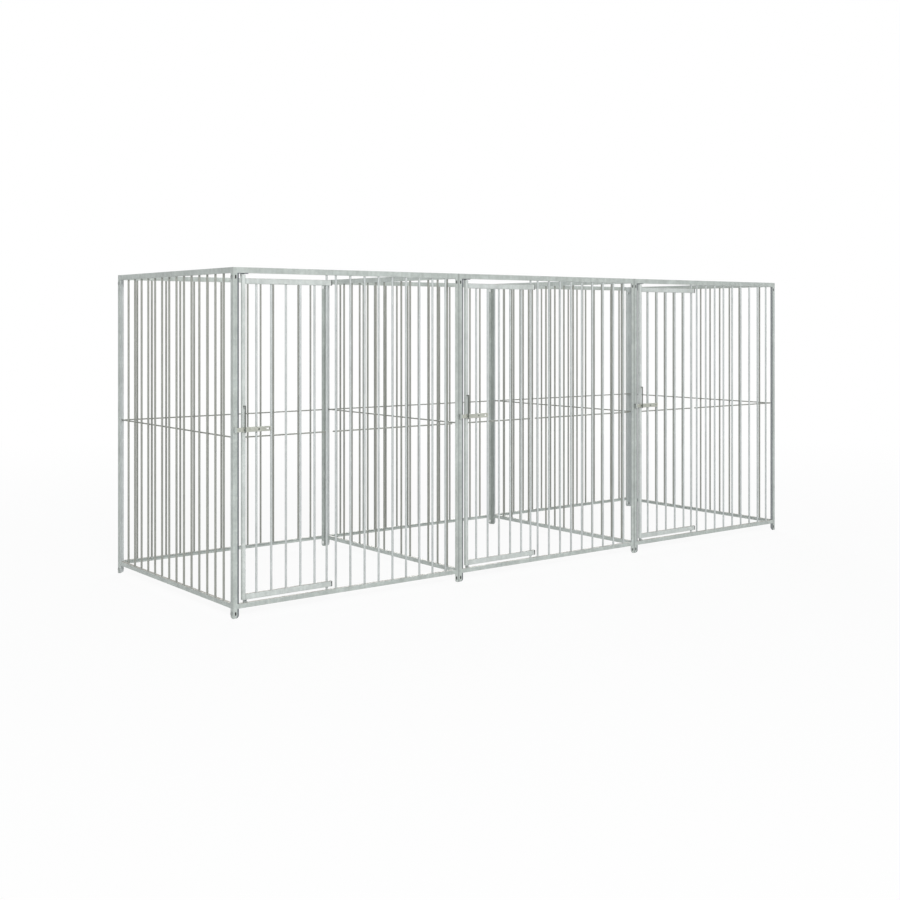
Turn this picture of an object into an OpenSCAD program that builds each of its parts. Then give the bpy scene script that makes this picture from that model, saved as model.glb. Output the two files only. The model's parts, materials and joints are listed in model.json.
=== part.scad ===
// Outdoor dog kennel run: three barred bays in a row, each with a hinged door and a slide bolt.
// Millimetres. +X runs along the front to the right, +Y to the back, +Z up.
// Origin: bottom centre of the whole run.

/* [Run] */
// Width of one bay, over its front panel
bay_w = 1500; // [1300:10:2200]
// Depth of the run, over its front and back panels
run_d = 1500; // [1000:10:2500]
// Height of the run, feet included
run_h = 1840; // [1500:10:2200]
// Clear height of the bottom rails above the ground
foot_h = 50; // [42:1:90]

/* [Angle posts] */
// Flange width of the front and back posts
post_flange = 25; // [24:1:32]
// Flange width of the cross panel posts, which nest inside the others
cross_flange = 32; // [28:1:36]
// Thickness of all posts
post_t = 3; // [2:0.5:4]
// Radius of the rounded foot corners
foot_r = 16; // [6:1:18]
// Recess of the plugs in the spare slots and holes
plug_in = 0.6; // [0.2:0.1:0.8]
// Play of the plugs, on each side
plug_play = 0.1; // [0.05:0.05:0.2]
// Distance from a post's outer corner to the middle of its slots
slot_in = 15; // [14:0.5:16]
// Width of the joining slots
slot_w = 9; // [8.5:0.1:10]
// Length of the joining slots, end to end
slot_len = 20; // [14:1:24]
// Height of the foot slots' middle above the ground
foot_slot_z = 25; // [20:1:30]
// Drop of the head slots' middle below the top
head_slot_drop = 51; // [45:1:80]

/* [Rails] */
// Height of the top rails
top_rail_h = 30; // [20:1:34]
// Height of the bottom rails
bottom_rail_h = 25; // [16:1:40]
// Depth of the rails, front to back
rail_d = 20; // [18:1:30]
// Thickness of the rails
rail_t = 3; // [2:0.5:4]

/* [Bars] */
// Diameter of every upright bar
bar_d = 12; // [8:1:13]
// Number of bars in a back panel
back_bar_n = 14; // [6:1:18]
// Number of bars in a cross panel
cross_bar_n = 14; // [6:1:18]
// Number of fixed bars beside a door
fixed_bar_n = 9; // [4:1:12]
// Distance from the hinge bar to the first fixed bar
first_bar_gap = 60; // [50:1:90]
// Distance from the last fixed bar to the post's flange
last_bar_gap = 68; // [30:1:110]
// Diameter of the cross rods at half height
rod_d = 8; // [5:1:10]
// Seam between a cross rod and the bars it is welded to
rod_seam = 0.1; // [0.05:0.05:0.2]
// Length of a cross rod past the first fixed bar, where it ends free
rod_end = 12; // [8:1:20]

/* [Door] */
// Gap between the latch post's flange and the door
door_gap = 29; // [16:1:45]
// Distance from the bay's left edge to the hinge bar
hinge_x = 580; // [500:1:700]
// Length of the door rails past the hinge bar
door_tail = 24; // [20:1:28]
// Width and depth of the door's tubes
door_tube = 20; // [18:1:24]
// Height of the door's top and bottom rails
door_rail_h = 30; // [20:1:40]
// Wall of the door's tubes
tube_wall = 2; // [1.5:0.5:2.5]
// Outer corner radius of the door's tubes
tube_r = 4; // [3:0.5:5]
// Gap between the door and the bottom rail
door_foot_gap = 16; // [10:1:60]
// Gap between the door and the top rail
door_head_gap = 27; // [14:1:60]
// Gap between the stile's top and the stop above it
stile_gap = 3; // [2:1:5]
// Number of bars in the door
door_bar_n = 5; // [2:1:5]
// Pitch of the door's bars
door_bar_pitch = 90; // [50:1:95]
// Play of the hinge bar in the door's holes, on the radius
hinge_play = 0.25; // [0.1:0.05:0.5]
// Outer diameter of the collar under the door
collar_d = 16; // [15:1:28]
// Height of the collar under the door
collar_h = 4; // [3:1:10]
// Thickness of the end caps' heads
cap_t = 6; // [3:1:8]
// Depth of the end caps' plugs
cap_plug = 10; // [5:1:12]
// Play of the end caps' plugs in the tubes, on each side
cap_play = 0.3; // [0.1:0.1:0.4]
// Width of the door stops
stop_w = 22; // [14:1:40]
// Thickness of the door stops
stop_t = 4; // [3:1:6]
// Distance from the door's free edge to its stop
stop_in = 15; // [4:1:50]
// Play between the door and its stop
stop_play = 0.4; // [0.3:0.1:1]

/* [Latch] */
// Height of the latch's middle above the ground
latch_z = 986; // [800:1:1300]
// Height of the latch guide
guide_h = 26; // [20:1:34]
// Depth of the latch guide
guide_d = 9; // [8:0.5:12]
// Wall of the latch guide
guide_wall = 1.5; // [1:0.25:2]
// Length of the latch guide
guide_len = 165; // [158:1:240]
// Play of the slide bolt in its guide
bolt_play = 0.3; // [0.2:0.1:0.5]
// Length of the slide bolt
bolt_len = 168; // [140:1:170]
// Reach of the bolt's tip over the post's flange at rest
bolt_reach = 7; // [3:1:8]
// Travel of the bolt from rest into its keeper
bolt_throw = 16; // [10:1:17]
// Travel of the bolt from rest, drawn back
bolt_draw = 30; // [10:1:32]
// Thickness of the keeper's strap
keeper_t = 3; // [2:0.5:4]
// Gap between the bolt's tip and its keeper, at rest and past it
keeper_gap = 1; // [0.5:0.5:3]
// Play of the bolt in its keeper
keeper_play = 0.8; // [0.4:0.1:1.5]
// Diameter of the handle rod
handle_d = 7; // [5:0.5:9]
// Height of the handle rod above the bolt's middle
handle_rise = 125; // [60:1:200]
// Drop of the handle rod below the bolt's middle
handle_drop = 16; // [0:1:30]
// Length of the handle rod's bent tip
handle_tip = 12; // [6:1:25]
// Distance from the door's free edge to the handle rod
handle_in = 9; // [6:1:14]
// Gap between the handle rod and the guide
handle_gap = 3; // [1:0.5:8]
// Distance from the door's free edge to the fixing hole
fix_hole_in = 94; // [82:1:105]
// Diameter of the fixing hole, which a plug closes
fix_hole_d = 9; // [5:0.5:12]
// Length of the padlock window
window_len = 20; // [8:1:22]
// Height of the padlock window
window_h = 8; // [5:0.5:12]
// Distance from the guide's end to the padlock window
window_in = 6; // [4:1:10]

/* [Joining bolts] */
// Diameter of the joining bolts
screw_d = 8; // [6:0.5:8]
// Width of the bolt heads and nuts across flats
screw_af = 13; // [11:0.5:14]
// Height of the bolt heads
screw_head_h = 5.3; // [3:0.1:6]
// Thickness of the low nuts
nut_h = 4; // [3:0.5:4.5]
// Play of the nut on its bolt, on the radius
nut_play = 0.05; // [0.02:0.01:0.1]

/* [Hidden] */
BAYS = [0, 1, 2];
STEEL = [0.74, 0.77, 0.76];
BAR_STEEL = [0.68, 0.71, 0.71];
DARK_STEEL = [0.5, 0.53, 0.55];
LATCH_STEEL = [0.7, 0.71, 0.68];
BLACK = [0.12, 0.12, 0.12];
$fn = 48;
// Small overlap that lets one cut run past a face
cut = 1;

run_w = len(BAYS) * bay_w;
cross_w = run_d - 2 * post_t;
// What a cross panel's post shows past the flange in front of it
post_peek = post_t + cross_flange - post_flange;
rail_notch = post_peek + 0.5;
bar_v = rail_d / 2;
bar_z0 = foot_h + bottom_rail_h;
bar_z1 = run_h - top_rail_h;
rod_v = bar_v + bar_d / 2 + rod_seam + rod_d / 2;
rod_z = (foot_h + run_h) / 2;
slot_heights = [foot_slot_z, run_h - head_slot_drop];

door_x0 = post_flange + door_gap;
door_x1 = hinge_x + door_tail;
door_z0 = bar_z0 + door_foot_gap;
door_z1 = bar_z1 - door_head_gap;
door_v0 = bar_v - door_tube / 2;
stile_x1 = door_x0 + door_tube;
stile_z1 = bar_z1 - stop_t - stile_gap;
door_rail_zs = [door_z0 + door_rail_h / 2, door_z1 - door_rail_h / 2];
hinge_hole_r = bar_d / 2 + hinge_play;
fixed_x0 = hinge_x + first_bar_gap;
fixed_x1 = bay_w - post_flange - last_bar_gap;
fixed_pitch = (fixed_x1 - fixed_x0) / (fixed_bar_n - 1);

bolt_h = guide_h - 2 * (guide_wall + bolt_play);
bolt_t = guide_d - 2 * (guide_wall + bolt_play);
guide_v0 = door_v0 - guide_d;
bolt_v0 = guide_v0 + guide_wall + bolt_play;
bolt_x0 = post_flange - bolt_reach;
keeper_x1 = bolt_x0 - keeper_gap;
keeper_w = bolt_throw - 2 * keeper_gap;
keeper_h = bolt_h + 2 * (keeper_play + keeper_t);
keeper_v0 = bolt_v0 - keeper_play - keeper_t;
handle_x = door_x0 + handle_in;
handle_v = guide_v0 - handle_gap - handle_d / 2;
slot_clear = 0.5;
// Foremost reach of the latch, which sets the middle of the run's depth
latch_reach = -(handle_v - handle_d / 2);
origin_y = (run_d - latch_reach) / 2;

// Places. Every panel is drawn with u along its width, v from its outer face inwards and z up.

module at_bay(k) {
    translate([k * bay_w - run_w / 2, -origin_y, 0]) children();
}

module front(k) {
    at_bay(k) children();
}

module back(k) {
    at_bay(k) translate([0, run_d, 0]) mirror([0, 1, 0]) children();
}

// Cross panel seated inside the left posts of bay k
module cross(k) {
    at_bay(k) translate([post_t, post_t, 0]) mirror([1, -1, 0]) children();
}

// Cross panel seated inside the right posts of the last bay
module cross_right() {
    at_bay(len(BAYS)) mirror([1, 0, 0]) translate([post_t, post_t, 0]) mirror([1, -1, 0]) children();
}

// Shapes shared by the panels

module slot_2d(x, z, play = 0) {
    half = (slot_len - slot_w) / 2;
    w = slot_w - 2 * play;
    for (dz = [-half, half])
        translate([x, z + dz]) circle(d = w);
    translate([x - w / 2, z - half]) square([w, 2 * half]);
}

// Outline of one post flange, with its free foot corner rounded and a slot at the foot and the head
module flange_2d(flange, slot_x) {
    difference() {
        square([flange, run_h]);
        translate([flange - foot_r, 0]) difference() {
            translate([0, -cut]) square([foot_r + cut, foot_r + cut]);
            translate([0, foot_r]) circle(r = foot_r);
        }
        for (z = slot_heights) slot_2d(slot_x, z);
    }
}

// Angle-iron post with its corner at the origin and both flanges on the outside
module angle_post(flange, slot_x) {
    translate([0, post_t, 0]) rotate([90, 0, 0]) linear_extrude(post_t) flange_2d(flange, slot_x);
    rotate([90, 0, 90]) linear_extrude(post_t) flange_2d(flange, slot_x);
}

module post_pair(w, flange, slot_x) {
    angle_post(flange, slot_x);
    translate([w, 0, 0]) mirror([1, 0, 0]) angle_post(flange, slot_x);
}

// Angle-iron rail between two posts; the ledge that carries the bars stops short of the nested posts
module angle_rail(w, flange, h, ledge_z, notch) {
    translate([flange, 0, 0]) cube([w - 2 * flange, rail_t, h]);
    translate([flange + notch, 0, ledge_z]) cube([w - 2 * (flange + notch), rail_d, rail_t]);
}

module rail_pair(w, flange, notch) {
    translate([0, 0, foot_h]) angle_rail(w, flange, bottom_rail_h, bottom_rail_h - rail_t, notch);
    translate([0, 0, bar_z1]) angle_rail(w, flange, top_rail_h, 0, notch);
}

module bar(u, z0, z1) {
    translate([u, bar_v, z0]) cylinder(d = bar_d, h = z1 - z0);
}

// Even places of n bars between the flanges of a panel
function even_places(w, flange, n) = [for (i = [1 : n]) flange + i * (w - 2 * flange) / (n + 1)];
function fixed_places() = [for (i = [0 : fixed_bar_n - 1]) fixed_x0 + i * fixed_pitch];
function door_places() = [
    for (i = [0 : door_bar_n - 1])
        (door_x0 + door_tube / 2 + hinge_x) / 2 + (i - (door_bar_n - 1) / 2) * door_bar_pitch
];

module bars(places) {
    for (u = places) bar(u, bar_z0, bar_z1);
}

// Cross rod behind the bars, from u0 to u1
module rod(u0, u1) {
    translate([u0, rod_v, rod_z]) rotate([0, 90, 0]) cylinder(d = rod_d, h = u1 - u0);
}

// Fixed frame

module front_posts(k) {
    color(STEEL) front(k) post_pair(bay_w, post_flange, slot_in);
}

module front_rails(k) {
    color(STEEL) front(k) rail_pair(bay_w, post_flange, rail_notch);
}

// Fixed bars, and the hinge bar with the collar that carries the door
module front_bars(k) {
    color(BAR_STEEL) front(k) {
        bars(concat([hinge_x], fixed_places()));
        translate([hinge_x, bar_v, door_z0 - stop_play - collar_h]) cylinder(d = collar_d, h = collar_h);
    }
}

module back_posts(k) {
    color(STEEL) back(k) post_pair(bay_w, post_flange, slot_in);
}

module back_rails(k) {
    color(STEEL) back(k) rail_pair(bay_w, post_flange, rail_notch);
}

module back_bars(k) {
    color(BAR_STEEL) back(k) bars(even_places(bay_w, post_flange, back_bar_n));
}

module cross_posts() {
    color(DARK_STEEL) post_pair(cross_w, cross_flange, slot_in - post_t);
}

module cross_rails() {
    color(STEEL) rail_pair(cross_w, cross_flange, 0);
}

module cross_bars() {
    color(BAR_STEEL) bars(even_places(cross_w, cross_flange, cross_bar_n));
}

// Cross rods of all the fixed panels
module frame_rods() {
    free_end = post_flange + rail_notch;
    color(DARK_STEEL) for (k = BAYS) {
        front(k) rod(fixed_x0 - rod_end, bay_w - free_end);
        back(k) rod(free_end, bay_w - free_end);
        cross(k) rod(post_t, cross_w - post_t);
    }
    color(DARK_STEEL) cross_right() rod(post_t, cross_w - post_t);
}

// Plugs that close the spare slots in the front faces of the posts
module slot_plugs() {
    color(BLACK) for (k = BAYS, x = [slot_in, bay_w - slot_in], z = slot_heights)
        front(k) translate([0, post_t, 0]) rotate([90, 0, 0])
            linear_extrude(post_t - plug_in) slot_2d(x, z, plug_play);
}

// Lugs on the bottom and top rails that stop the foot and the head of the door's free edge
module door_stops() {
    stop_v = door_v0 + door_tube + stop_play;
    stop_x0 = door_x0 + stop_in;
    head_x0 = post_flange + rail_notch;
    color(STEEL) for (k = BAYS) front(k) {
        translate([stop_x0, bar_v, bar_z0]) cube([stop_w, stop_v + stop_t - bar_v, stop_t]);
        translate([stop_x0, stop_v, bar_z0]) cube([stop_w, stop_t, door_foot_gap + door_tube]);
        translate([head_x0, rail_t, bar_z1 - stop_t])
            cube([stop_x0 + stop_w - head_x0, stop_v + stop_t - rail_t, stop_t]);
        translate([door_x0, stop_v, door_z1]) cube([stop_w, stop_t, bar_z1 - door_z1]);
    }
}

// Keeper on the latch post: a strap on two blocks, which takes the tip of the slide bolt
module keepers() {
    inner_h = keeper_h - 2 * keeper_t;
    strap_v1 = keeper_v0 + keeper_t;
    color(LATCH_STEEL) for (k = BAYS) front(k) translate([keeper_x1 - keeper_w, 0, latch_z]) {
        translate([0, keeper_v0, -keeper_h / 2]) cube([keeper_w, keeper_t, keeper_h]);
        for (z = [-keeper_h / 2, inner_h / 2])
            translate([0, strap_v1, z]) cube([keeper_w, -strap_v1, keeper_t]);
    }
}

// Places of the joining bolts: each runs along +X from its head's seat, through a stack of flanges
module at_bolts() {
    pair = 2 * post_t;
    for (y = [slot_in, run_d - slot_in], z = slot_heights) {
        at_bay(0) translate([0, y, z]) rotate([0, 90, 0]) bolt_at(pair) children();
        for (k = [1 : len(BAYS) - 1])
            at_bay(k) translate([-post_t, y, z]) rotate([0, 90, 0]) bolt_at(pair + post_t) children();
        at_bay(len(BAYS)) translate([0, y, z]) rotate([0, -90, 0]) bolt_at(pair) children();
    }
}

// Passes the thickness of the flanges that a bolt clamps on to its children
module bolt_at(grip) {
    $grip = grip;
    children();
}

module hexagon(h) {
    cylinder(d = screw_af / cos(30), h = h, $fn = 6);
}

module joining_bolts() {
    color(LATCH_STEEL) at_bolts() {
        translate([0, 0, -screw_head_h]) hexagon(screw_head_h);
        cylinder(d = screw_d, h = $grip + nut_h);
    }
}

module joining_nuts() {
    color(LATCH_STEEL) at_bolts() translate([0, 0, $grip]) difference() {
        hexagon(nut_h);
        translate([0, 0, -cut]) cylinder(r = screw_d / 2 + nut_play, h = nut_h + 2 * cut);
    }
}

// Doors

// Rectangle with rounded corners, centred
module round_box_2d(w, h, r) {
    square([w - 2 * r, h], center = true);
    square([w, h - 2 * r], center = true);
    for (x = [r - w / 2, w / 2 - r], y = [r - h / 2, h / 2 - r])
        translate([x, y]) circle(r = r);
}

// Box tube of length l along +X and height h, centred on the bar line
module tube_x(l, h) {
    lost = 2 * tube_wall;
    rotate([90, 0, 90]) linear_extrude(l) difference() {
        round_box_2d(door_tube, h, tube_r);
        round_box_2d(door_tube - lost, h - lost, tube_r - tube_wall);
    }
}

module door_stile(k) {
    color(STEEL) front(k) translate([door_x0 + door_tube / 2, bar_v, door_z0])
        rotate([0, -90, 0]) tube_x(stile_z1 - door_z0, door_tube);
}

module door_rails(k) {
    color(STEEL) front(k) for (z = door_rail_zs)
        translate([stile_x1, bar_v, z]) difference() {
            tube_x(door_x1 - stile_x1, door_rail_h);
            translate([hinge_x - stile_x1, 0, -door_rail_h]) cylinder(r = hinge_hole_r, h = 2 * door_rail_h);
        }
}

module door_bars(k) {
    color(BAR_STEEL) front(k) for (u = door_places())
        bar(u, door_z0 + door_rail_h, door_z1 - door_rail_h);
}

// Cross rod of a door, from its free edge to the hinge bar
module door_rod(k) {
    color(DARK_STEEL) front(k) rod(stile_x1, hinge_x);
}

// Push-in end caps of the door rails at the hinge side, and the plug of the guide's fixing hole
module door_caps(k) {
    lost = 2 * (tube_wall + cap_play);
    plug_r = tube_r - tube_wall - cap_play;
    color(BLACK) front(k) for (z = door_rail_zs)
        translate([door_x1, bar_v, z]) rotate([90, 0, 90]) {
            linear_extrude(cap_t) round_box_2d(door_tube, door_rail_h, tube_r);
            translate([0, 0, -cap_plug]) linear_extrude(cap_plug)
                round_box_2d(door_tube - lost, door_rail_h - lost, plug_r);
        }
    color(BLACK) front(k) translate([door_x0 + fix_hole_in, guide_v0 + plug_in, latch_z])
        rotate([-90, 0, 0]) cylinder(d = fix_hole_d - 2 * plug_play, h = guide_wall - plug_in);
}

// Flat tube on the door's face that guides the bolt; the handle's slot is open at its free end
module latch_guide(k) {
    slot_h = handle_d + 2 * slot_clear;
    slot_end = handle_in + bolt_draw + handle_d / 2 + slot_clear;
    color(LATCH_STEEL) front(k) translate([door_x0, guide_v0, latch_z]) difference() {
        translate([0, 0, -guide_h / 2]) cube([guide_len, guide_d, guide_h]);
        translate([-cut, guide_wall, guide_wall - guide_h / 2])
            cube([guide_len + 2 * cut, guide_d - 2 * guide_wall, guide_h - 2 * guide_wall]);
        translate([-cut, -cut, -slot_h / 2]) cube([slot_end + cut, guide_wall + 2 * cut, slot_h]);
        translate([fix_hole_in, -cut, 0]) rotate([-90, 0, 0])
            cylinder(d = fix_hole_d, h = guide_wall + 2 * cut);
        translate([guide_len - window_in - window_len, -cut, -window_h / 2])
            cube([window_len, guide_d + 2 * cut, window_h]);
    }
}

module slide_bolt(k) {
    color(LATCH_STEEL) front(k) translate([bolt_x0, bolt_v0, latch_z - bolt_h / 2])
        cube([bolt_len, bolt_t, bolt_h]);
}

// Upright handle rod, bent at the tip, with the stub that joins it to the bolt
module bolt_handle(k) {
    color(DARK_STEEL) front(k) translate([handle_x, handle_v, latch_z]) {
        rotate([-90, 0, 0]) cylinder(d = handle_d, h = bolt_v0 - handle_v);
        translate([0, 0, -handle_drop]) cylinder(d = handle_d, h = handle_drop + handle_rise);
        translate([0, 0, handle_rise]) sphere(d = handle_d);
        translate([0, 0, handle_rise]) rotate([0, -90, 0]) cylinder(d = handle_d, h = handle_tip);
    }
}

front_posts(0);  // front_posts_1
front_posts(1);  // front_posts_2
front_posts(2);  // front_posts_3
front_rails(0);  // front_rails_1
front_rails(1);  // front_rails_2
front_rails(2);  // front_rails_3
front_bars(0);  // front_bars_1
front_bars(1);  // front_bars_2
front_bars(2);  // front_bars_3
back_posts(0);  // back_posts_1
back_posts(1);  // back_posts_2
back_posts(2);  // back_posts_3
back_rails(0);  // back_rails_1
back_rails(1);  // back_rails_2
back_rails(2);  // back_rails_3
back_bars(0);  // back_bars_1
back_bars(1);  // back_bars_2
back_bars(2);  // back_bars_3
cross(0) cross_posts();  // left_end_posts
cross(1) cross_posts();  // divider_1_posts
cross(2) cross_posts();  // divider_2_posts
cross_right() cross_posts();  // right_end_posts
cross(0) cross_rails();  // left_end_rails
cross(1) cross_rails();  // divider_1_rails
cross(2) cross_rails();  // divider_2_rails
cross_right() cross_rails();  // right_end_rails
cross(0) cross_bars();  // left_end_bars
cross(1) cross_bars();  // divider_1_bars
cross(2) cross_bars();  // divider_2_bars
cross_right() cross_bars();  // right_end_bars
frame_rods();
slot_plugs();
door_stops();
keepers();
joining_bolts();
joining_nuts();
door_stile(0);  // door_stile_1
door_stile(1);  // door_stile_2
door_stile(2);  // door_stile_3
door_rails(0);  // door_rails_1
door_rails(1);  // door_rails_2
door_rails(2);  // door_rails_3
door_bars(0);  // door_bars_1
door_bars(1);  // door_bars_2
door_bars(2);  // door_bars_3
door_rod(0);  // door_rod_1
door_rod(1);  // door_rod_2
door_rod(2);  // door_rod_3
door_caps(0);  // door_caps_1
door_caps(1);  // door_caps_2
door_caps(2);  // door_caps_3
latch_guide(0);  // latch_guide_1
latch_guide(1);  // latch_guide_2
latch_guide(2);  // latch_guide_3
slide_bolt(0);  // slide_bolt_1
slide_bolt(1);  // slide_bolt_2
slide_bolt(2);  // slide_bolt_3
bolt_handle(0);  // bolt_handle_1
bolt_handle(1);  // bolt_handle_2
bolt_handle(2);  // bolt_handle_3
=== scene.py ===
"""Looks of the outdoor dog kennel run: galvanised steel, weld seams, studio light and camera."""

import json
import math

import bmesh
import bpy
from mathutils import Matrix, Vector


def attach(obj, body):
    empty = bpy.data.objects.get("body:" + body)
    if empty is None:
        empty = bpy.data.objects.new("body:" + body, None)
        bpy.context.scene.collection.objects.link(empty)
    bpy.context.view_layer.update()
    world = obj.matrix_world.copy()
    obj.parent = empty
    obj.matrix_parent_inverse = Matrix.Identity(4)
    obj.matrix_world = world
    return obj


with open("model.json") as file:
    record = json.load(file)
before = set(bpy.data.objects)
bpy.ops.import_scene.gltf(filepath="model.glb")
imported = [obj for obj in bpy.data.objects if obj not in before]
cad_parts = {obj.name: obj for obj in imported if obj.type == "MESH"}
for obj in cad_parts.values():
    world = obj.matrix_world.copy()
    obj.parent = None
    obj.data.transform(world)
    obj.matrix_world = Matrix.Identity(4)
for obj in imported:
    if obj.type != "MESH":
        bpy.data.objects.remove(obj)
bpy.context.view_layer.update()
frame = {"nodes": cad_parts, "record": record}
nodes = frame["nodes"]

scene = bpy.context.scene
scene.view_settings.view_transform = "Standard"

# Sizes of the run, the same as in part.scad, in metres
BAY_N = 3
BAY_W = 1.5
RUN_D = 1.5
LEFT = -0.5 * BAY_N * BAY_W
FRONT = -0.7405
BACK = FRONT + RUN_D
POST_T = 0.003

# Bars: radius, distance of their axes from the panel's face, and heights of their ends
BAR_R = 0.006
BAR_IN = 0.010
BAR_Z0 = 0.075
BAR_Z1 = 1.810
DOOR_BAR_Z0 = 0.121
DOOR_BAR_Z1 = 1.753

# Places of the bars along their panels
HINGE_X = 0.580
FIXED_BAR_N = 9
FIXED_X0 = 0.640
FIXED_PITCH = 0.095875
DOOR_BAR_N = 5
DOOR_MID_X = 0.322
DOOR_PITCH = 0.090
EVEN_BAR_N = 14
BACK_INSET = 0.025
CROSS_INSET = 0.035

# Weld fillets: overlap into the bar, reach from it, height, and points in a ring
WELD_SINK = 0.0002
WELD_REACH = 0.0026
WELD_H = 0.0032
WELD_TURNS = 14
# Hollow profile from the foot to the top: shares of the reach and of the height
WELD_PROFILE = [(1.0, 0.0), (0.45, 0.22), (0.12, 0.6), (0.0, 1.0)]
# Unevenness of a fillet: its share, the waves in a ring, and its change with X and Y
WELD_WAVE = 0.08
WELD_WAVE_N = 5
WELD_WAVE_X = 40
WELD_WAVE_Y = 17

# Colours that the zinc layers share
WHITE = (1.0, 1.0, 1.0)
FLAKE = (0.86, 0.87, 0.88)
RUN_OFF = (0.88, 0.88, 0.87)
LEDGE = (0.29, 0.26, 0.215)
# Painted shade: the colour of the nested posts' front faces in the shadow behind the front posts
PAINTED_RECESS_SHADE = (0.12, 0.13, 0.145)
# Joint of two bays' posts: a valley of painted shade along their edges and a thin dark line at
# the joint itself;
# for each, distances where it starts and ends to fade, its share there, and its shade of the
# zinc
JOINT_LINE_AND_SHADE = [(0.0, 0.010, 0.40, 0.30), (0.0004, 0.0010, 0.85, 0.12)]
# Faces behind the front posts: where the painted shade on them starts and ends to fade
RECESS_SHADE_Y0 = FRONT + 0.004
RECESS_SHADE_Y1 = FRONT + 0.005
# Duller foot of the posts: height, share and shade of the zinc
FOOT_H = 0.10
FOOT_SHARE = 0.06
FOOT_SHADE = 0.62

# Sockets of a colour mix node: factor and two colours, and the result
MIX_INPUTS = (0, 6, 7)
MIX_RESULT = 2

# Floor: half its width, and where the white of the background takes over
FLOOR_HALF = 60.0
FLOOR_NEAR = 2.5
FLOOR_FAR = 9.0
FLOOR_WHITE = 0.90

# Light: brightest direction and strengths of the dome, and the target and size of the lamps
DOME_FROM = (-0.62, -0.62, 0.50)
DOME_DARK = 0.30
DOME_LIGHT = 0.40
COOL = (0.97, 0.985, 1.0)
LAMP_TARGET = (0.0, 0.0, 0.9)
LAMP_SIZE = 9.0

# Camera: the photo's width, its focal length and horizon in pixels, and the eye
PHOTO_PX = 900.0
FOCAL_PX = 1234.8
HORIZON_PX = 320.5
SENSOR_MM = 36.0
EYE = (-5.311, -6.529, 1.560)
EYE_YAW = -37.83


# Nodes


def new_material(name):
    """A material with its node tree and its shader, wired to the output."""
    mat = bpy.data.materials.new(name)
    mat.use_nodes = True
    tree = mat.node_tree
    return mat, tree, tree.nodes["Principled BSDF"]


def add(tree, kind, **inputs):
    """A node of that kind with its constant inputs set; names use _ for a blank."""
    made = tree.nodes.new(kind)
    for key, value in inputs.items():
        made.inputs[key.replace("_", " ")].default_value = value
    return made


def feed(tree, socket, value):
    """Sets a socket to a number or a colour, or links another socket to it."""
    if isinstance(value, (int, float)):
        socket.default_value = value
    elif isinstance(value, tuple):
        socket.default_value = (*value, 1.0)
    else:
        tree.links.new(value, socket)


def maths(tree, operation, *values):
    """The result of a math node on sockets or numbers."""
    made = tree.nodes.new("ShaderNodeMath")
    made.operation = operation
    for socket, value in zip(made.inputs, values):
        feed(tree, socket, value)
    return made.outputs[0]


def ranged(tree, source, low, high, to_low, to_high):
    """Source mapped from low..high to to_low..to_high, clamped."""
    made = add(
        tree,
        "ShaderNodeMapRange",
        From_Min=low,
        From_Max=high,
        To_Min=to_low,
        To_Max=to_high,
    )
    tree.links.new(source, made.inputs["Value"])
    return made.outputs["Result"]


def ramp(tree, source, stops):
    """A colour ramp fed by source."""
    made = tree.nodes.new("ShaderNodeValToRGB")
    line = made.color_ramp
    while len(line.elements) < len(stops):
        line.elements.new(0.5)
    for element, (place, colour) in zip(line.elements, stops):
        element.position = place
        element.color = (*colour, 1.0)
    tree.links.new(source, made.inputs["Fac"])
    return made.outputs["Color"]


def mixed(tree, factor, a, b, blend="MIX"):
    """A mix of two colours, each a socket or a colour, by a socket or a number."""
    made = tree.nodes.new("ShaderNodeMix")
    made.data_type = "RGBA"
    made.blend_type = blend
    for index, value in zip(MIX_INPUTS, (factor, a, b)):
        feed(tree, made.inputs[index], value)
    return made.outputs[MIX_RESULT]


def mixed_shaders(tree, factor, a, b):
    """A shader that goes from a to b by factor."""
    made = tree.nodes.new("ShaderNodeMixShader")
    for socket, value in zip(made.inputs, (factor, a, b)):
        tree.links.new(value, socket)
    return made.outputs["Shader"]


def texture_place(tree):
    """Places on the piece, in its own frame."""
    return tree.nodes.new("ShaderNodeTexCoord").outputs["Object"]


def noise(tree, place, **inputs):
    """The factor of a noise texture at place."""
    made = add(tree, "ShaderNodeTexNoise", **inputs)
    tree.links.new(place, made.inputs["Vector"])
    return made.outputs["Fac"]


def xyz(tree, source):
    """The X, Y and Z of a vector."""
    made = tree.nodes.new("ShaderNodeSeparateXYZ")
    tree.links.new(source, made.inputs["Vector"])
    return made.outputs["X"], made.outputs["Y"], made.outputs["Z"]


def grain(tree, shader, place, scale, detail, strength, distance):
    """A fine bump on the shader."""
    bump = add(tree, "ShaderNodeBump", Strength=strength, Distance=distance)
    tree.links.new(noise(tree, place, Scale=scale, Detail=detail), bump.inputs["Height"])
    tree.links.new(bump.outputs["Normal"], shader.inputs["Normal"])


def scaled(colour, k):
    """A colour made k times as bright, up to white."""
    return tuple(min(1.0, c * k) for c in colour)


# Materials


def joint_line_and_shade_layer(tree, base, colour, across):
    """Paints shade into the valley where the posts of two bays meet, and a thin dark line at the
    joint.
    """
    from_joint = maths(tree, "SUBTRACT", maths(tree, "ABSOLUTE", across), 0.5 * BAY_W)
    apart = maths(tree, "ABSOLUTE", from_joint)
    for near, far, share, shade in JOINT_LINE_AND_SHADE:
        fade = ranged(tree, apart, near, far, share, 0.0)
        base = mixed(tree, fade, base, scaled(colour, shade))
    return base


def ledge_layer(tree, base, facing_up):
    """Dulls the faces that look up."""
    return mixed(tree, ranged(tree, facing_up, 0.7, 0.95, 0.0, 0.75), base, LEDGE)


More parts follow.
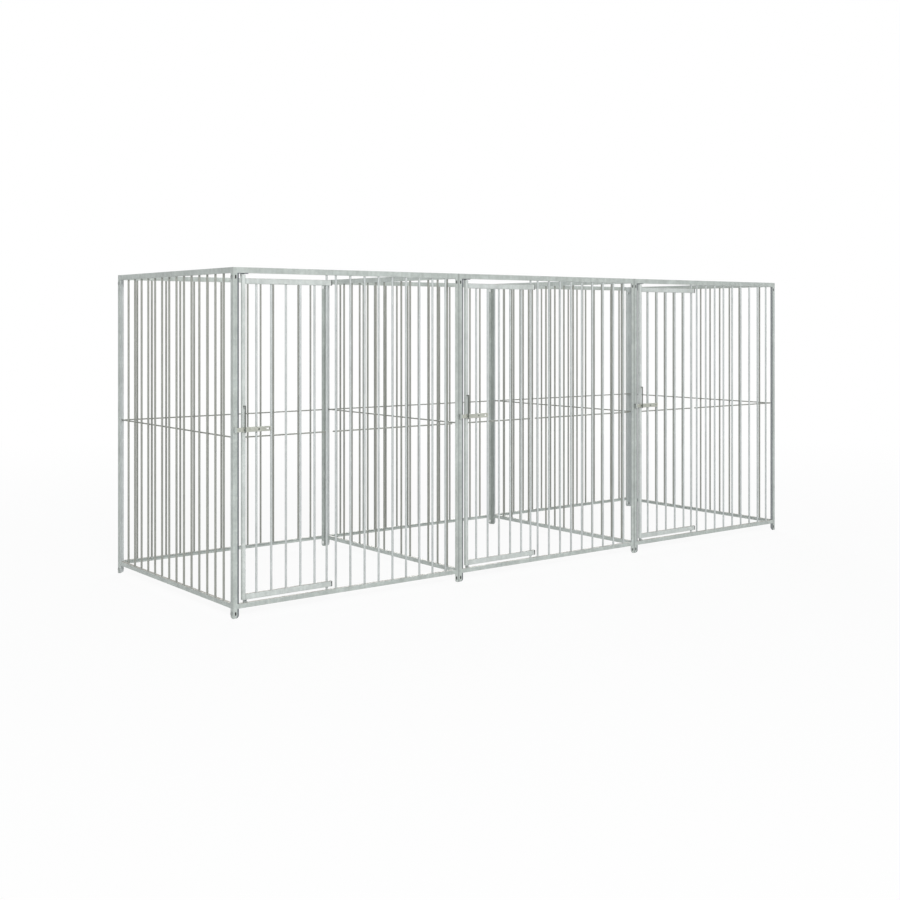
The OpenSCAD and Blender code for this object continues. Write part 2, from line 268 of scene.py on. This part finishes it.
def recess_shade_layer(tree, base, facing_back, deep):
    """Paints shade on the front faces of the posts nested behind the front posts, which those
    shadow.
    """
    forward = ranged(tree, facing_back, -0.95, -0.7, 1.0, 0.0)
    in_front = ranged(tree, deep, RECESS_SHADE_Y0, RECESS_SHADE_Y1, 1.0, 0.0)
    return mixed(tree, maths(tree, "MULTIPLY", forward, in_front), base, PAINTED_RECESS_SHADE)


def zinc(
    name,
    colour,
    rough=0.46,
    metal=0.2,
    spangle=70.0,
    contrast=1.0,
    ledge=False,
    recess_shade=False,
    joint_line_and_shade=False,
):
    """Galvanised zinc: cloudy patches, crystal spangle, faint run-off streaks and a duller foot.

    ledge dulls the faces that look up; the other two flags paint shade: on the nested posts'
    front faces behind the front posts, and in the valley where two bays' posts meet, with a thin
    dark line at the joint.
    """
    mat, tree, shader = new_material(name)
    link = tree.links.new
    place = texture_place(tree)
    across, deep, height = xyz(tree, place)

    cloud = noise(tree, place, Scale=9.0, Detail=6.0, Roughness=0.62)
    low = scaled(colour, 1.0 - 0.10 * contrast)
    high = scaled(colour, 1.0 + 0.07 * contrast)
    base = ramp(tree, cloud, [(0.30, low), (0.72, high)])

    crystal = add(tree, "ShaderNodeTexVoronoi", Scale=spangle, Randomness=1.0)
    link(place, crystal.inputs["Vector"])
    grey = tree.nodes.new("ShaderNodeSeparateColor")
    link(crystal.outputs["Color"], grey.inputs["Color"])
    flake = ramp(tree, grey.outputs["Red"], [(0.0, FLAKE), (1.0, WHITE)])
    base = mixed(tree, 0.55 * contrast, base, flake, "MULTIPLY")

    long_way = add(tree, "ShaderNodeMapping", Scale=(60.0, 60.0, 2.2))
    link(place, long_way.inputs["Vector"])
    streak = noise(tree, long_way.outputs["Vector"], Scale=1.0, Detail=3.0)
    run_off = ramp(tree, streak, [(0.35, RUN_OFF), (0.6, WHITE)])
    base = mixed(tree, 0.5 * contrast, base, run_off, "MULTIPLY")

    near_ground = ranged(tree, height, 0.0, FOOT_H, FOOT_SHARE, 0.0)
    base = mixed(tree, near_ground, base, scaled(colour, FOOT_SHADE))

    if joint_line_and_shade:
        base = joint_line_and_shade_layer(tree, base, colour, across)
    if ledge or recess_shade:
        normal = tree.nodes.new("ShaderNodeNewGeometry").outputs["True Normal"]
        _, facing_back, facing_up = xyz(tree, normal)
        if ledge:
            base = ledge_layer(tree, base, facing_up)
        if recess_shade:
            base = recess_shade_layer(tree, base, facing_back, deep)
    link(base, shader.inputs["Base Color"])

    gloss = ranged(tree, grey.outputs["Green"], 0.0, 1.0, rough - 0.06, rough + 0.08)
    link(gloss, shader.inputs["Roughness"])
    shader.inputs["Metallic"].default_value = metal
    grain(tree, shader, place, scale=420.0, detail=3.0, strength=0.12, distance=0.0004)
    return mat


def plastic(name, colour):
    """Black moulded plastic with a fine grain and paler scuffs."""
    mat, tree, shader = new_material(name)
    link = tree.links.new
    place = texture_place(tree)
    scuff = noise(tree, place, Scale=140.0, Detail=5.0)
    worn = ramp(tree, scuff, [(0.45, colour), (0.8, scaled(colour, 2.0))])
    link(worn, shader.inputs["Base Color"])
    link(ranged(tree, scuff, 0.3, 0.8, 0.42, 0.62), shader.inputs["Roughness"])
    grain(tree, shader, place, scale=1500.0, detail=2.0, strength=0.2, distance=0.0002)
    return mat


ZINCS = {
    "frame_zinc": dict(colour=(0.50, 0.54, 0.515), ledge=True, joint_line_and_shade=True, contrast=1.5),
    # Nested posts: zinc painted paler than the frame's, painted light for the back posts' shaded
    # inner corners
    "nested_post_zinc": dict(colour=(0.55, 0.58, 0.575), recess_shade=True),
    "bar_zinc": dict(colour=(0.53, 0.56, 0.555), rough=0.40),
    # Back and cross bars: the bars' zinc painted darker, painted shade for the inside of the run
    "inner_bar_zinc": dict(colour=(0.315, 0.325, 0.295), rough=0.42),
    "door_zinc": dict(colour=(0.59, 0.625, 0.605), ledge=True, contrast=1.3),
    "latch_steel": dict(colour=(0.47, 0.485, 0.43), rough=0.42, spangle=160.0),
    "handle_steel": dict(colour=(0.12, 0.135, 0.12), rough=0.40, spangle=200.0),
    "fastener_steel": dict(colour=(0.34, 0.36, 0.35), rough=0.36, spangle=240.0),
}
MATERIALS = {name: zinc(name, **look) for name, look in ZINCS.items()}
# Black plugs in the posts' spare slots: dark pieces that stand in for the deep shade inside the
# slots
MATERIALS["cap_plastic"] = plastic("cap_plastic", (0.012, 0.012, 0.013))
WELD = zinc("weld_zinc", (0.50, 0.52, 0.50), rough=0.52, metal=0.35, spangle=260.0, contrast=1.3)
# Rails that show their inner side: zinc painted paler as painted light for their shaded inner
# faces, and without the painted shade at the posts' joint
INNER_RAIL_PAINTED_LIGHT = zinc("inner_rail_painted_light_zinc", (0.565, 0.61, 0.582), ledge=True, contrast=1.5)
INNER_PANELS = ("back", "divider", "right_end")

for sub in frame["record"]["subparts"]:
    inner = "_rails" in sub["node"] and sub["node"].startswith(INNER_PANELS)
    for holder in nodes[sub["node"]].material_slots:
        holder.material = INNER_RAIL_PAINTED_LIGHT if inner else MATERIALS[sub["material_slot"]]


# Weld seams round the ends of the bars


def seam_ring(mesh, foot, up):
    """A small hollow weld fillet round a bar's end; up is +1 on a ledge and -1 under one."""
    r_in = BAR_R - WELD_SINK
    rows = []
    for reach, rise in WELD_PROFILE:
        row = []
        for i in range(WELD_TURNS):
            turn = 2 * math.pi * i / WELD_TURNS
            phase = WELD_WAVE_N * turn + WELD_WAVE_X * foot.x + WELD_WAVE_Y * foot.y
            wave = 1.0 + WELD_WAVE * math.sin(phase)
            r = r_in + reach * wave * (WELD_REACH + WELD_SINK)
            out = Vector((r * math.cos(turn), r * math.sin(turn), up * rise * WELD_H))
            row.append(mesh.verts.new(foot + out))
        rows.append(row)
    for low, high in zip(rows, rows[1:]):
        for i in range(WELD_TURNS):
            j = (i + 1) % WELD_TURNS
            face = (low[i], low[j], high[j], high[i])
            mesh.faces.new(face if up > 0 else face[::-1])


def seams(name, body, ends):
    """One mesh with a weld fillet at each end in ends: (x, y, z, up)."""
    mesh = bmesh.new()
    for x, y, z, up in ends:
        seam_ring(mesh, Vector((x, y, z)), up)
    data = bpy.data.meshes.new(name)
    mesh.to_mesh(data)
    mesh.free()
    for face in data.polygons:
        face.use_smooth = True
    piece = bpy.data.objects.new(name, data)
    scene.collection.objects.link(piece)
    data.materials.append(WELD)
    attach(piece, body)


def both_ends(x, y, z0=BAR_Z0, z1=BAR_Z1):
    """The two ends of a bar, on the ledge below it and under the one above it."""
    return [(x, y, z0, 1), (x, y, z1, -1)]


def even_places(length, inset):
    """Places of the bars of a panel that has no door."""
    pitch = (length - 2 * inset) / (EVEN_BAR_N + 1)
    return [inset + (i + 1) * pitch for i in range(EVEN_BAR_N)]


fixed_bars = [FIXED_X0 + i * FIXED_PITCH for i in range(FIXED_BAR_N)]
back_bars = even_places(BAY_W, BACK_INSET)
cross_bars = even_places(RUN_D, CROSS_INSET)
door_bars = [DOOR_MID_X + (i - (DOOR_BAR_N - 1) / 2) * DOOR_PITCH for i in range(DOOR_BAR_N)]

frame_ends = []
for k in range(BAY_N):
    x0 = LEFT + k * BAY_W
    for u in fixed_bars + [HINGE_X]:
        frame_ends += both_ends(x0 + u, FRONT + BAR_IN)
    for u in back_bars:
        frame_ends += both_ends(x0 + u, BACK - BAR_IN)
    for u in cross_bars:
        frame_ends += both_ends(x0 + POST_T + BAR_IN, FRONT + u)
for u in cross_bars:
    frame_ends += both_ends(-LEFT - POST_T - BAR_IN, FRONT + u)
seams("frame_weld_seams", "run_frame", frame_ends)

for k in range(BAY_N):
    x0 = LEFT + k * BAY_W
    door_ends = []
    for u in door_bars:
        door_ends += both_ends(x0 + u, FRONT + BAR_IN, DOOR_BAR_Z0, DOOR_BAR_Z1)
    seams(f"door_weld_seams_{k + 1}", f"door_{k + 1}", door_ends)


# Floor, light and camera


def seen_rays(tree):
    """1 for the rays that show the background: straight, mirrored or through glass."""
    path = tree.nodes.new("ShaderNodeLightPath")
    total = path.outputs["Is Camera Ray"]
    for kind in ("Is Glossy Ray", "Is Transmission Ray"):
        total = maths(tree, "MAXIMUM", total, path.outputs[kind])
    return total


def floor_material():
    """A white floor that goes over into the background away from the run."""
    mat, tree, shader = new_material("floor")
    shader.inputs["Base Color"].default_value = (0.97, 0.97, 0.97, 1.0)
    shader.inputs["Roughness"].default_value = 0.9
    shader.inputs["Specular IOR Level"].default_value = 0.1
    white = add(tree, "ShaderNodeEmission", Color=(*WHITE, 1.0), Strength=1.0)
    away = tree.nodes.new("ShaderNodeVectorMath")
    away.operation = "LENGTH"
    tree.links.new(texture_place(tree), away.inputs[0])
    fade = ranged(tree, away.outputs["Value"], FLOOR_NEAR, FLOOR_FAR, FLOOR_WHITE, 1.0)
    share = maths(tree, "MULTIPLY", seen_rays(tree), fade)
    blend = mixed_shaders(tree, share, shader.outputs["BSDF"], white.outputs["Emission"])
    tree.links.new(blend, tree.nodes["Material Output"].inputs["Surface"])
    return mat


floor_mesh = bpy.data.meshes.new("floor")
corners = [(-1, -1), (1, -1), (1, 1), (-1, 1)]
floor_mesh.from_pydata(
    [(x * FLOOR_HALF, y * FLOOR_HALF, 0.0) for x, y in corners], [], [(0, 1, 2, 3)]
)
floor_mesh.materials.append(floor_material())
floor = bpy.data.objects.new("floor", floor_mesh)
scene.collection.objects.link(floor)


def studio_world():
    """A soft dome of light, with plain white where the background shows."""
    world = bpy.data.worlds.new("studio")
    world.use_nodes = True
    tree = world.node_tree
    tree.nodes.clear()
    dot = tree.nodes.new("ShaderNodeVectorMath")
    dot.operation = "DOT_PRODUCT"
    dot.inputs[1].default_value = Vector(DOME_FROM).normalized()
    sky = tree.nodes.new("ShaderNodeTexCoord").outputs["Generated"]
    tree.links.new(sky, dot.inputs[0])
    dome = ranged(tree, dot.outputs["Value"], -0.7, 0.9, DOME_DARK, DOME_LIGHT)
    soft = add(tree, "ShaderNodeBackground", Color=(*COOL, 1.0))
    tree.links.new(dome, soft.inputs["Strength"])
    plain = add(tree, "ShaderNodeBackground", Color=(*WHITE, 1.0), Strength=1.0)
    pick = mixed_shaders(
        tree, seen_rays(tree), soft.outputs["Background"], plain.outputs["Background"]
    )
    out = tree.nodes.new("ShaderNodeOutputWorld")
    tree.links.new(pick, out.inputs["Surface"])
    return world


scene.world = studio_world()


def area_light(name, place, power, colour):
    """A large round lamp that points at the middle of the run."""
    lamp = bpy.data.lights.new(name, "AREA")
    lamp.shape = "DISK"
    lamp.size = LAMP_SIZE
    lamp.energy = power
    lamp.color = colour
    holder = bpy.data.objects.new(name, lamp)
    holder.location = place
    aim = Vector(LAMP_TARGET) - Vector(place)
    holder.rotation_euler = aim.to_track_quat("-Z", "Y").to_euler()
    scene.collection.objects.link(holder)


area_light("key", (-10.0, -18.0, 11.0), 3300.0, (1.0, 1.0, 0.99))
area_light("fill", (12.0, 16.0, 9.0), 1500.0, COOL)

camera_data = bpy.data.cameras.new("camera")
camera_data.sensor_width = SENSOR_MM
camera_data.lens = FOCAL_PX / PHOTO_PX * SENSOR_MM
camera_data.shift_x = 0.0
camera_data.shift_y = (HORIZON_PX - 0.5 * PHOTO_PX) / PHOTO_PX
camera_data.clip_end = 200.0
camera = bpy.data.objects.new("camera", camera_data)
camera.location = EYE
camera.rotation_euler = (math.radians(90.0), 0.0, math.radians(EYE_YAW))
scene.collection.objects.link(camera)
scene.camera = camera
